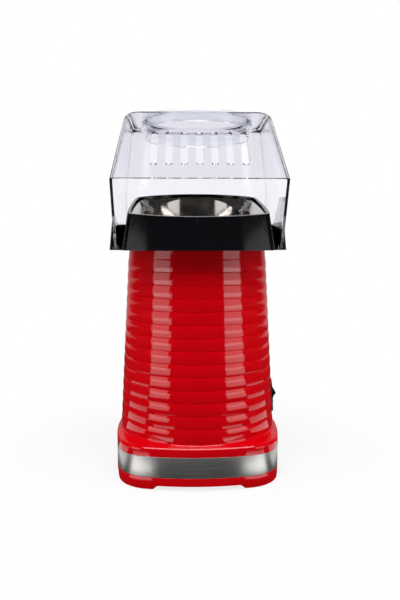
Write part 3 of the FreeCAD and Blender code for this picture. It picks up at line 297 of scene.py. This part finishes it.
# Each row starts from what the piece is made of: grain is the size of its pattern in millimetres, relief
# the height of that pattern, stretch its direction, gloss its range of roughness and shade how far the
# tint wanders. The pattern's middle values, PATTERN, spread over the whole range of gloss and tint.
PATTERN = {"From Min": 0.3, "From Max": 0.7}
FINISHES = {
    # Moulded gloss ABS: an even deep red under clear, slightly wavy highlights.
    "red_plastic": {"name": "Gloss red ABS", "grain": 11, "relief": 0.008, "gloss": (0.05, 0.09),
                    "shade": 0.03, "surface": {"IOR": 1.6}},
    # Moulded gloss ABS: nearly black, so that only its highlights show its shape.
    "black_plastic": {"name": "Gloss black ABS", "grain": 9, "relief": 0.006, "gloss": (0.1, 0.14),
                      "shade": 0.06, "surface": {"IOR": 1.42}},
    # Moulded polypropylene from an etched tool: a fine dull texture that scatters every highlight.
    "black_matte_plastic": {"name": "Etched black polypropylene", "grain": 0.8, "relief": 0.05,
                            "gloss": (0.42, 0.58), "shade": 0.15, "surface": {"IOR": 1.49}},
    # Clear moulded polystyrene: see-through with a cool cast, and dark along its edges. Its IOR is set below
    # the real 1.59, for lighter corners.
    "clear_plastic": {"name": "Clear polystyrene", "grain": 30, "relief": 0, "gloss": (0.0, 0.03),
                      "shade": 0, "surface": {"IOR": 1.35, "Transmission Weight": 1.0}},
    # Stainless strip brushed along its length: the lights smear across the lines. Real brush lines are
    # about 0.05 mm apart; they are drawn 0.4 mm apart so that they show.
    "brushed_steel": {"name": "Brushed stainless steel", "grain": 0.4, "stretch": (60, 60, 1),
                      "relief": 0.004, "gloss": (0.3, 0.42), "shade": 0.08, "radial": True,
                      "surface": {"Metallic": 1.0, "Anisotropic": 0.5, "Anisotropic Rotation": 0.25}},
    # Hot-dipped sheet steel: a grey patchwork of zinc crystals a few millimetres across.
    "galvanised_steel": {"name": "Galvanised sheet steel", "grain": 5, "cells": True, "relief": 0.01,
                         "gloss": (0.3, 0.48), "shade": 0.14, "surface": {"Metallic": 1.0}},
    # Turned and zinc-plated steel: bright with faint tool marks.
    "screw_steel": {"name": "Zinc-plated steel", "grain": 0.5, "stretch": (1, 1, 6), "relief": 0.01,
                    "gloss": (0.2, 0.32), "shade": 0.06, "surface": {"Metallic": 1.0}},
    # Pressed aluminium sheet: pale and satin, drawn faintly along its height.
    "aluminium": {"name": "Satin pressed aluminium", "grain": 1.2, "stretch": (1, 1, 14), "relief": 0.01,
                  "gloss": (0.26, 0.38), "shade": 0.06, "surface": {"Metallic": 1.0}},
    # Polished and darkened aluminium: a mirror that shows the dark room and the softboxes.
    "polished_aluminium": {"name": "Dark polished aluminium", "grain": 14, "relief": 0.012,
                           "gloss": (0.1, 0.17), "shade": 0.05, "surface": {"Metallic": 1.0}},
    # Moulded rubber: dull, grey-black and slightly dusty.
    "rubber": {"name": "Moulded rubber", "grain": 1.5, "relief": 0.04, "gloss": (0.7, 0.85),
               "shade": 0.2, "surface": {"IOR": 1.52}},
    # Moulded silicone: brick red with a soft sheen.
    "silicone": {"name": "Red silicone", "grain": 2, "relief": 0.02, "gloss": (0.45, 0.6),
                 "shade": 0.08, "surface": {"IOR": 1.41, "Subsurface Weight": 0.15}},
    # Pressed mica sheet: flat silvery brown flakes.
    "mica": {"name": "Pressed mica sheet", "grain": 3, "cells": True, "relief": 0.02,
             "gloss": (0.25, 0.5), "shade": 0.2, "surface": {"IOR": 1.58}},
    # Resistance wire after use: a brownish grey oxide.
    "heater_wire": {"name": "Oxidised nichrome wire", "grain": 0.9, "relief": 0.01, "gloss": (0.35, 0.55),
                    "shade": 0.2, "surface": {"Metallic": 1.0}},
    # Pressed and fired ferrite: a dark grey ceramic with a fine grain.
    "ferrite": {"name": "Sintered ferrite", "grain": 0.7, "relief": 0.02, "gloss": (0.5, 0.65),
                "shade": 0.15, "surface": {"IOR": 2.3}},
    # Stacked steel sheets: fine rings half a millimetre apart.
    "rotor_iron": {"name": "Laminated rotor steel", "grain": 0.5, "stretch": (80, 80, 1), "relief": 0.03,
                   "gloss": (0.35, 0.5), "shade": 0.2, "surface": {"Metallic": 1.0}},
    # Pressed bronze powder soaked with oil: brown and finely porous.
    "bronze": {"name": "Sintered bronze", "grain": 0.5, "relief": 0.02, "gloss": (0.35, 0.5),
               "shade": 0.15, "surface": {"Metallic": 1.0}},
    # Stamped brass strip: yellow with faint rolling lines.
    "brass": {"name": "Stamped brass", "grain": 0.6, "stretch": (1, 8, 1), "relief": 0.008,
              "gloss": (0.22, 0.36), "shade": 0.08, "surface": {"Metallic": 1.0}},
    # Natural moulded nylon: cream, waxy and a little cloudy.
    "nylon": {"name": "Natural nylon", "grain": 3, "relief": 0.015, "gloss": (0.35, 0.48),
              "shade": 0.05, "surface": {"IOR": 1.53, "Subsurface Weight": 0.1}},
    # Paper laminate: tan with the fibres showing as fine lines.
    "circuit_board": {"name": "Paper laminate board", "grain": 0.8, "stretch": (5, 1, 1), "relief": 0.01,
                      "gloss": (0.4, 0.55), "shade": 0.12, "surface": {"IOR": 1.55}},
}


def finish(slot):
    """The material of one slot: a pattern on Object coordinates that moves its tint, gloss and relief."""
    row = FINISHES[slot]
    made = bpy.data.materials.get(row["name"])
    if made:
        return made
    tint = getattr(bpy.context.scene.popcorn_colours, slot)
    made = bpy.data.materials.new(row["name"])
    made.use_nodes = True
    tree = made.node_tree
    tree.nodes.clear()
    shader = add_node(tree, "ShaderNodeBsdfPrincipled", inputs={"Base Color": tint, **row["surface"]})
    add_node(tree, "ShaderNodeOutputMaterial", inputs={"Surface": shader.outputs["BSDF"]})
    place = add_node(tree, "ShaderNodeTexCoord")
    grain = [1 / (row["grain"] * MM * along) for along in row.get("stretch", (1, 1, 1))]
    mapping = add_node(tree, "ShaderNodeMapping", inputs={"Vector": place.outputs["Object"], "Scale": grain})
    if row.get("cells"):
        cells = add_node(tree, "ShaderNodeTexVoronoi", inputs={
            "Vector": mapping.outputs["Vector"], "Scale": 1.0})
        pattern = add_node(tree, "ShaderNodeSeparateColor", inputs={
            "Color": cells.outputs["Color"]}).outputs["Red"]
    else:
        pattern = add_node(tree, "ShaderNodeTexNoise", inputs={
            "Vector": mapping.outputs["Vector"], "Scale": 1.0, "Detail": 3.0}).outputs["Fac"]
    spread = add_node(tree, "ShaderNodeMapRange", inputs={
        "Value": pattern, **PATTERN, "To Min": row["gloss"][0], "To Max": row["gloss"][1]})
    tree.links.new(spread.outputs["Result"], shader.inputs["Roughness"])
    if row["shade"]:
        level = add_node(tree, "ShaderNodeMapRange", inputs={
            "Value": pattern, **PATTERN, "To Min": 1 - row["shade"], "To Max": 1 + row["shade"]})
        shaded = add_node(tree, "ShaderNodeHueSaturation", inputs={
            "Color": tint, "Value": level.outputs["Result"]})
        tree.links.new(shaded.outputs["Color"], shader.inputs["Base Color"])
    if row["relief"]:
        bump = add_node(tree, "ShaderNodeBump", inputs={
            "Height": pattern, "Distance": row["relief"] * MM, "Strength": 1.0})
        tree.links.new(bump.outputs["Normal"], shader.inputs["Normal"])
    if row.get("radial"):
        tangent = add_node(tree, "ShaderNodeTangent", {"direction_type": "RADIAL", "axis": "Z"})
        tree.links.new(tangent.outputs["Tangent"], shader.inputs["Tangent"])
    return made


class POPCORN_OT_tower(bpy.types.Operator):
    """Builds the ribbed tower with the shoulder of the base"""
    bl_idname = "popcorn.tower"
    bl_label = "Tower"

    def execute(self, context):
        base, tower = context.scene.popcorn_base, context.scene.popcorn_tower
        piece = new_piece("tower", "housing", [(self.ribbed_tower(tower, base), True, True),
                                               (self.shoulder(tower, base), True, True)],
                          finish("red_plastic"), sharp=30)
        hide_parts("tower_shell")
        return {"FINISHED"}

    def ribbed_tower(self, tower, base, ribs=14, steps=12, fillet_steps=7, columns=360):
        """A turned profile: ribs that are arcs over even chords, a root fillet and a plain inner wall.

        Along a chord the bulge is sqrt(R^2 - x^2) - sqrt(R^2 - h^2), with x from -h to h, less a groove
        that is depth * (1 - distance from the chord's end / half width) deep.
        """
        k = np.arange(ribs, 0, -1)[:, None]
        low = tower.groove_radius + tower.growth * k + 1j * (tower.groove_top - tower.pitch * k)
        chord = -tower.growth + 1j * tower.pitch
        edge = tower.groove_half / abs(chord)
        share = np.concatenate([[0, edge / 2], np.linspace(edge, 1 - edge, steps), [1 - edge / 2]])[None, :]
        half = abs(chord) / 2
        bulge = np.sqrt(tower.rib_radius ** 2 - (half * (2 * share - 1)) ** 2)
        bulge = bulge - math.sqrt(tower.rib_radius ** 2 - half ** 2)
        bulge = bulge - tower.groove_depth * np.maximum(1 - np.minimum(share, 1 - share) / edge, 0)
        rib_rows = (low + chord * share - 1j * chord / abs(chord) * bulge).ravel()
        root_groove = tower.groove_radius + tower.growth * ribs
        turn = -np.pi / 2 * (1 + np.linspace(0, 1, fillet_steps))
        root = root_groove + tower.root + 1j * (base.shoulder + tower.root) + tower.root * np.exp(1j * turn)
        under = base.shoulder - tower.wall
        neck = np.array([tower.groove_radius + 1j * tower.groove_top, tower.neck + 1j * tower.top,
                         tower.neck - tower.wall + 1j * tower.top,
                         root_groove - tower.wall + 1j * under, root_groove + tower.root + 1j * under])
        profile = np.concatenate([root, rib_rows, neck])
        around = np.exp(2j * np.pi * np.arange(columns) / columns)
        points = stack(profile.real[:, None] * around[None, :], profile.imag[:, None]).copy()
        x, y, z = points[..., 0], points[..., 1], points[..., 2]
        rise = z - tower.flat_height
        on_flat = (abs(y) < tower.flat_half) & (abs(rise) < tower.flat_reach) & (x > 0)
        points[..., 0] = np.where(on_flat, np.minimum(x, tower.flat - rise * math.tan(tower.flat_lean)), x)
        return points

    def shoulder(self, tower, base, round_steps=8):
        """A profile carried round the base's plan, which ends on a circle inside the tower's foot."""
        points, normals = base_outline(base)
        wall = base.band_seat + base.wall
        arc = np.exp(1j * np.linspace(0, np.pi / 2, round_steps)) * base.shoulder_round
        edge = arc - base.shoulder_round + 1j * (base.shoulder - base.shoulder_round)
        under = base.shoulder - tower.wall
        outside = np.concatenate([[-base.band_seat + 1j * base.split, -base.band_seat + 1j * base.band_high,
                                   1j * base.band_high], edge])
        inner_edge = [1j * base.shoulder, 1j * under]
        loop = np.concatenate([outside, inner_edge, [-wall + 1j * under, -wall + 1j * base.split]])
        flat = points[None, :] + normals[None, :] * loop.real[:, None]
        circle = (tower.groove_radius + tower.seat) * points / abs(points)
        flat[len(outside):len(outside) + len(inner_edge)] = circle
        return stack(flat, loop.imag[:, None])


def base_outline(base):
    """The base's plan: a square with bowed sides and round corners."""
    return plan_outline(base.half, base.half, base.half, (base.side_bow,) * 3, (base.corner,) * 2)


class POPCORN_OT_base(bpy.types.Operator):
    """Builds the base ring with its feet, and the steel band"""
    bl_idname = "popcorn.base"
    bl_label = "Base"

    def execute(self, context):
        base = context.scene.popcorn_base
        points, normals = base_outline(base)
        wall = base.band_seat + base.wall
        loop = rounded_loop([
            (0, base.bottom, base.foot_round), (0, base.band_low, base.ledge_round),
            (-base.band_seat, base.band_low, base.seat_round),
            (-base.band_seat, base.split, base.split_round),
            (-wall, base.split, base.split_round), (-wall, base.bottom, base.foot_round)])
        ring = swept(points, normals, loop)
        beside = np.minimum(abs(ring[..., 0]), abs(ring[..., 1])) - base.notch_half
        notch = base.notch_top - beside * (base.notch_top - base.bottom) / base.notch_slant
        ring[..., 2] = np.maximum(ring[..., 2], np.clip(notch, base.bottom, base.notch_top))
        piece = new_piece("base", "housing", [(ring, True, True)], finish("red_plastic"), sharp=60)
        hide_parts("base_ring")

        low, high = base.band_low + base.band_gap, base.band_high - base.band_gap
        strip = rounded_loop([(across, height, base.band_round) for across, height in (
            (0, low), (0, high), (-base.band_sheet, high), (-base.band_sheet, low))])
        band = new_piece("band", "housing", [(swept(points, normals, strip), True, True)],
                         finish("brushed_steel"), sharp=60)
        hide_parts("steel_band")
        return {"FINISHED"}


class POPCORN_OT_liner(bpy.types.Operator):
    """Builds the polished metal liner in the collar"""
    bl_idname = "popcorn.liner"
    bl_label = "Liner"

    def execute(self, context):
        piece = new_piece("liner", "housing", [(self.flared_wall(context.scene.popcorn_liner), True, True)],
                          finish("polished_aluminium"), sharp=30)
        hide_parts("chamber_funnel")
        return {"FINISHED"}

    def flared_wall(self, liner):
        """A sheet that stands upright on a round foot and then leans out to the sloping rim.

        In each direction it leaves the foot's circle at rim height - lean * distance from circle to rim.
        """
        rim, rim_out = plan_outline(liner.rim_half, liner.rim_front, liner.rim_back,
                                    (liner.side_bow, liner.front_bow, liner.back_bow),
                                    (liner.front_corner, liner.back_corner), liner.side_shift)
        walls = []
        for inset in (0, liner.sheet):
            sloped = rim - rim_out * inset
            flat = sloped.real + 1j * sloped.imag * math.cos(liner.rim_angle)
            height = liner.rim_height + sloped.imag * math.sin(liner.rim_angle)
            circle = (liner.foot_radius - inset) * flat / abs(flat)
            bottom = liner.foot_height + liner.sheet - inset
            bend = np.maximum(height - liner.lean * abs(flat - circle), bottom + liner.sheet)
            walls.append(np.stack([stack(circle, bottom), stack(circle, bend), stack(flat, height)]))
        edge = liner.flange * rim / abs(rim)
        flange = [stack(edge, liner.foot_height), stack(edge, liner.foot_height + liner.sheet)]
        return np.concatenate([flange, walls[0], walls[1][::-1]])


class POPCORN_OT_stage(bpy.types.Operator):
    """Sets up the pale floor, the soft lights and the camera"""
    bl_idname = "popcorn.stage"
    bl_label = "Stage"

    # The focal length equals the frame's height, both in millimetres.
    SENSOR = 36
    AIM_HEIGHT = 0.13
    # Name, property with its power, azimuth and elevation in degrees, distance and size in metres, and
    # whether mirrors and clear plastic show it.
    SOFTBOXES = (
        ("left softbox", "side_power", (-59, 0), 0.8, (0.42, 0.535), True),
        ("right softbox", "side_power", (55, 0), 0.8, (0.42, 0.535), True),
        ("left fill", "fill_power", (-92, 15), 0.9, (0.6, 0.8), False),
        ("right fill", "fill_power", (92, 15), 0.9, (0.6, 0.8), False),
        ("back fill", "fill_power", (180, 15), 0.9, (0.6, 0.8), False),
        ("overhead softbox", "key_power", (0, 58), 1.3, (1.5, 0.8), True),
    )
    # Painted pools of softbox light: bright sectors where the board itself glows, which only reflections
    # show: middle and half width in degrees from the front, and how the level changes between two distances
    # in metres.
    GLARE = ((57, 16, (0.26, 0.34), (0.0, 1.5)), (95, 20, (0.26, 0.34), (1.0, 0.0)),
             (46, 14.5, (0.13, 0.19), (2.1, 0.0)))
    # Distances in metres over which the board's painted glare comes out of a painted shadow round the base,
    # and over which the board's paint gives way to white.
    SHADOW_END = {"From Min": 0.086, "From Max": 0.098}
    FADE = {"From Min": 0.08, "From Max": 0.3, "To Min": 0.8, "To Max": 1.0}
    FLOOR_REACH = 3.0
    # Share of the board's bounced light that is held back from the object.
    DIFFUSE_HOLD = 0.75
    # Where the backdrop behind the object begins in reflections, and its level in a plain reflection.
    BEHIND = {"From Min": 0.55, "From Max": 0.95}
    PLAIN_MIRROR = 0.35

    def execute(self, context):
        scene = context.scene
        stage = scene.popcorn_stage
        scene.view_settings.view_transform = "Standard"
        self.lay_floor(scene)
        self.light_world(scene)
        for name, power, way, distance, size, mirrored in self.SOFTBOXES:
            self.add_softbox(name, getattr(stage, power), way, distance, size, mirrored)
        # Light runs a long way inside the clear walls before it leaves them.
        scene.cycles.max_bounces = 32
        scene.cycles.glossy_bounces = 24
        scene.cycles.transmission_bounces = 32
        camera = bpy.data.objects.new("camera", bpy.data.cameras.new("camera"))
        camera.data.sensor_fit = "VERTICAL"
        camera.data.sensor_height = self.SENSOR
        camera.data.lens = self.SENSOR
        camera.location = (-stage.camera_distance * math.sin(stage.camera_turn),
                           AXIS[1] - stage.camera_distance * math.cos(stage.camera_turn), stage.camera_height)
        camera.rotation_euler = Euler((math.pi / 2 - stage.camera_pitch, 0,
                                       -stage.camera_turn - stage.camera_aim))
        scene.collection.objects.link(camera)
        scene.camera = camera
        return {"FINISHED"}

    def backdrop(self, tree, place, dark):
        """How bright the backdrop looks: white to the camera and through clear plastic, and in a
        reflection dark before the object and paler behind it.

        Behind the object a plain reflection shows about a third of white, and one that went through clear
        plastic shows white. A ray that was mirrored or scattered on its way keeps that mark when clear
        plastic lets it out. Depths are whole numbers, so 0.5 tells none from some.
        """
        path = add_node(tree, "ShaderNodeLightPath")
        bounced = add_node(tree, "ShaderNodeMath", {"operation": "ADD"}, {
            0: path.outputs["Glossy Depth"], 1: path.outputs["Diffuse Depth"]})
        straight = add_node(tree, "ShaderNodeMath", {"operation": "LESS_THAN"}, {
            0: bounced.outputs["Value"], 1: 0.5})
        mirrored = add_node(tree, "ShaderNodeMath", {"operation": "GREATER_THAN"}, {
            0: path.outputs["Glossy Depth"], 1: 0.5})
        along = add_node(tree, "ShaderNodeSeparateXYZ", inputs={"Vector": place})
        clear = add_node(tree, "ShaderNodeMapRange", inputs={
            "Value": path.outputs["Transmission Depth"], "To Min": self.PLAIN_MIRROR, "To Max": 1.0})
        behind = add_node(tree, "ShaderNodeMapRange", {"interpolation_type": "SMOOTHSTEP"}, {
            "Value": along.outputs["Y"], **self.BEHIND, "To Min": dark, "To Max": clear.outputs["Result"]})
        return path, along, straight.outputs["Value"], mirrored.outputs["Value"], behind.outputs["Result"]

    def lay_floor(self, scene):
        """A pale board with a soft shadow near the object, which fades into the white backdrop; in
        reflections it shows painted pools of light and a painted shadow round the base.
        """
        reach = self.FLOOR_REACH
        mesh = bpy.data.meshes.new("floor")
        mesh.from_pydata([(-reach, -reach, 0), (reach, -reach, 0), (reach, reach, 0), (-reach, reach, 0)],
                         [], [(0, 1, 2, 3)])
        # Matt painted board: an even white that keeps the object's shadow.
        made = bpy.data.materials.new("Matt white board")
        made.use_nodes = True
        tree = made.node_tree
        tree.nodes.clear()
        place = add_node(tree, "ShaderNodeTexCoord").outputs["Object"]
        path, along, straight, mirrored, behind = self.backdrop(tree, place, scene.popcorn_stage.dark)
        aside = add_node(tree, "ShaderNodeMath", {"operation": "ABSOLUTE"}, {0: along.outputs["X"]})
        ahead = add_node(tree, "ShaderNodeMath", {"operation": "MULTIPLY"}, {0: along.outputs["Y"], 1: -1.0})
        turn = add_node(tree, "ShaderNodeMath", {"operation": "ARCTAN2"}, {
            0: aside.outputs["Value"], 1: ahead.outputs["Value"]})
        distance = add_node(tree, "ShaderNodeVectorMath", {"operation": "LENGTH"}, {0: place})
        # Painted light: sectors where the board glows in reflections, standing in for softbox light on the
        # floor.
        painted_glare = 0.0
        for middle, half_width, radii, levels in self.GLARE:
            sector = add_node(tree, "ShaderNodeMath", {"operation": "COMPARE"}, {
                0: turn.outputs["Value"], 1: math.radians(middle), 2: math.radians(half_width)})
            ring = add_node(tree, "ShaderNodeMapRange", {"interpolation_type": "SMOOTHSTEP"}, {
                "Value": distance.outputs["Value"], "From Min": radii[0], "From Max": radii[1],
                "To Min": levels[0], "To Max": levels[1]})
            painted_glare = add_node(tree, "ShaderNodeMath", {"operation": "MULTIPLY_ADD"}, {
                0: sector.outputs["Value"], 1: ring.outputs["Result"], 2: painted_glare}).outputs["Value"]
        # Next to the base a painted shadow keeps the painted glare off the board.
        out_of_painted_shadow = add_node(tree, "ShaderNodeMapRange", {"interpolation_type": "SMOOTHSTEP"}, {
            "Value": distance.outputs["Value"], **self.SHADOW_END, "To Min": 0.0, "To Max": 1.0})
        all_painted_glare = add_node(tree, "ShaderNodeMath", {"operation": "MULTIPLY"}, {
            0: painted_glare, 1: out_of_painted_shadow.outputs["Result"]})
        mirror_level = add_node(tree, "ShaderNodeMath", {"operation": "MAXIMUM"}, {
            0: all_painted_glare.outputs["Value"], 1: behind})
        mirror_share = add_node(tree, "ShaderNodeMath", {"operation": "MULTIPLY"}, {
            0: mirror_level.outputs["Value"], 1: mirrored})
        fade = add_node(tree, "ShaderNodeMapRange", {"interpolation_type": "SMOOTHSTEP"}, {
            "Value": distance.outputs["Value"], **self.FADE})
        faded = add_node(tree, "ShaderNodeMath", {"operation": "MULTIPLY"}, {
            0: straight, 1: fade.outputs["Result"]})
        held = add_node(tree, "ShaderNodeMath", {"operation": "MULTIPLY_ADD"}, {
            0: path.outputs["Is Diffuse Ray"], 1: self.DIFFUSE_HOLD, 2: mirrored})
        share = add_node(tree, "ShaderNodeMath", {"operation": "MAXIMUM"}, {
            0: faded.outputs["Value"], 1: held.outputs["Value"]})
        level = add_node(tree, "ShaderNodeMath", {"operation": "MAXIMUM"}, {
            0: straight, 1: mirror_share.outputs["Value"]})
        paint = add_node(tree, "ShaderNodeBsdfDiffuse", inputs={"Color": scene.popcorn_colours.floor})
        glow = add_node(tree, "ShaderNodeEmission", inputs={
            "Color": (1, 1, 1, 1), "Strength": level.outputs["Value"]})
        mixed = add_node(tree, "ShaderNodeMixShader", inputs={
            0: share.outputs["Value"], 1: paint.outputs["BSDF"], 2: glow.outputs["Emission"]})
        add_node(tree, "ShaderNodeOutputMaterial", inputs={"Surface": mixed.outputs["Shader"]})
        mesh.materials.append(made)
        floor = bpy.data.objects.new("floor", mesh)
        scene.collection.objects.link(floor)

    def light_world(self, scene):
        """White where the camera or the clear plastic looks, and a dim fill as light."""
        world = bpy.data.worlds.new("Studio")
        scene.world = world
        world.use_nodes = True
        tree = world.node_tree
        tree.nodes.clear()
        way = add_node(tree, "ShaderNodeTexCoord").outputs["Generated"]
        path, _, straight, mirrored, behind = self.backdrop(tree, way, scene.popcorn_stage.dark)
        mirror_share = add_node(tree, "ShaderNodeMath", {"operation": "MULTIPLY"}, {0: behind, 1: mirrored})
        level = add_node(tree, "ShaderNodeMath", {"operation": "MAXIMUM"}, {
            0: straight, 1: mirror_share.outputs["Value"]})
        strength = add_node(tree, "ShaderNodeMath", {"operation": "MULTIPLY_ADD"}, {
            0: path.outputs["Is Diffuse Ray"], 1: scene.popcorn_stage.fill, 2: level.outputs["Value"]})
        light = add_node(tree, "ShaderNodeBackground", inputs={
            "Color": (1, 1, 1, 1), "Strength": strength.outputs["Value"]})
        add_node(tree, "ShaderNodeOutputWorld", inputs={"Surface": light.outputs["Background"]})

    def add_softbox(self, name, power, way, distance, size, mirrored):
        """A softbox that faces the tower from an azimuth and elevation in degrees."""
        azimuth, elevation = np.radians(way)
        middle = Vector(AXIS) + Vector((0, 0, self.AIM_HEIGHT))
        place = middle + distance * Vector((math.sin(azimuth) * math.cos(elevation),
                                            -math.cos(azimuth) * math.cos(elevation), math.sin(elevation)))
        lamp = bpy.data.lights.new(name, "AREA")
        lamp.shape = "RECTANGLE"
        lamp.size, lamp.size_y = size
        lamp.energy = power
        softbox = bpy.data.objects.new(name, lamp)
        softbox.location = place
        softbox.rotation_euler = (middle - place).to_track_quat("-Z", "Y").to_euler()
        softbox.visible_camera = False
        softbox.visible_glossy = mirrored
        softbox.visible_transmission = mirrored
        bpy.context.scene.collection.objects.link(softbox)


class POPCORN_OT_kept_pieces(bpy.types.Operator):
    """Gives each piece that keeps its CAD shape the finish of its real material"""
    bl_idname = "popcorn.kept_pieces"
    bl_label = "Pieces kept from CAD"

    def execute(self, context):
        for row in frame["record"]["subparts"]:
            for place in frame["nodes"][row["node"]].material_slots:
                place.material = finish(row["material_slot"])
        return {"FINISHED"}


class POPCORN_PT_sidebar(bpy.types.Panel):
    bl_label = "Popcorn maker"
    bl_idname = "POPCORN_PT_sidebar"
    bl_space_type = "VIEW_3D"
    bl_region_type = "UI"
    bl_category = "Popcorn"

    def draw(self, context):
        for operator in OPERATORS:
            self.layout.operator(operator.bl_idname)


OPERATORS = (POPCORN_OT_tower, POPCORN_OT_base, POPCORN_OT_liner, POPCORN_OT_kept_pieces, POPCORN_OT_stage)
GROUPS = {"popcorn_base": PopcornBase, "popcorn_tower": PopcornTower, "popcorn_liner": PopcornLiner,
          "popcorn_colours": PopcornColours, "popcorn_stage": PopcornStage}


def register():
    for name, group in GROUPS.items():
        bpy.utils.register_class(group)
        setattr(bpy.types.Scene, name, PointerProperty(type=group))
    for operator in OPERATORS:
        bpy.utils.register_class(operator)
    bpy.utils.register_class(POPCORN_PT_sidebar)


def unregister():
    bpy.utils.unregister_class(POPCORN_PT_sidebar)
    for operator in reversed(OPERATORS):
        bpy.utils.unregister_class(operator)
    for name, group in reversed(GROUPS.items()):
        delattr(bpy.types.Scene, name)
        bpy.utils.unregister_class(group)


def main():
    register()
    bpy.ops.popcorn.tower()
    bpy.ops.popcorn.base()
    bpy.ops.popcorn.liner()
    bpy.ops.popcorn.kept_pieces()
    bpy.ops.popcorn.stage()


if __name__ == "__main__":
    main()
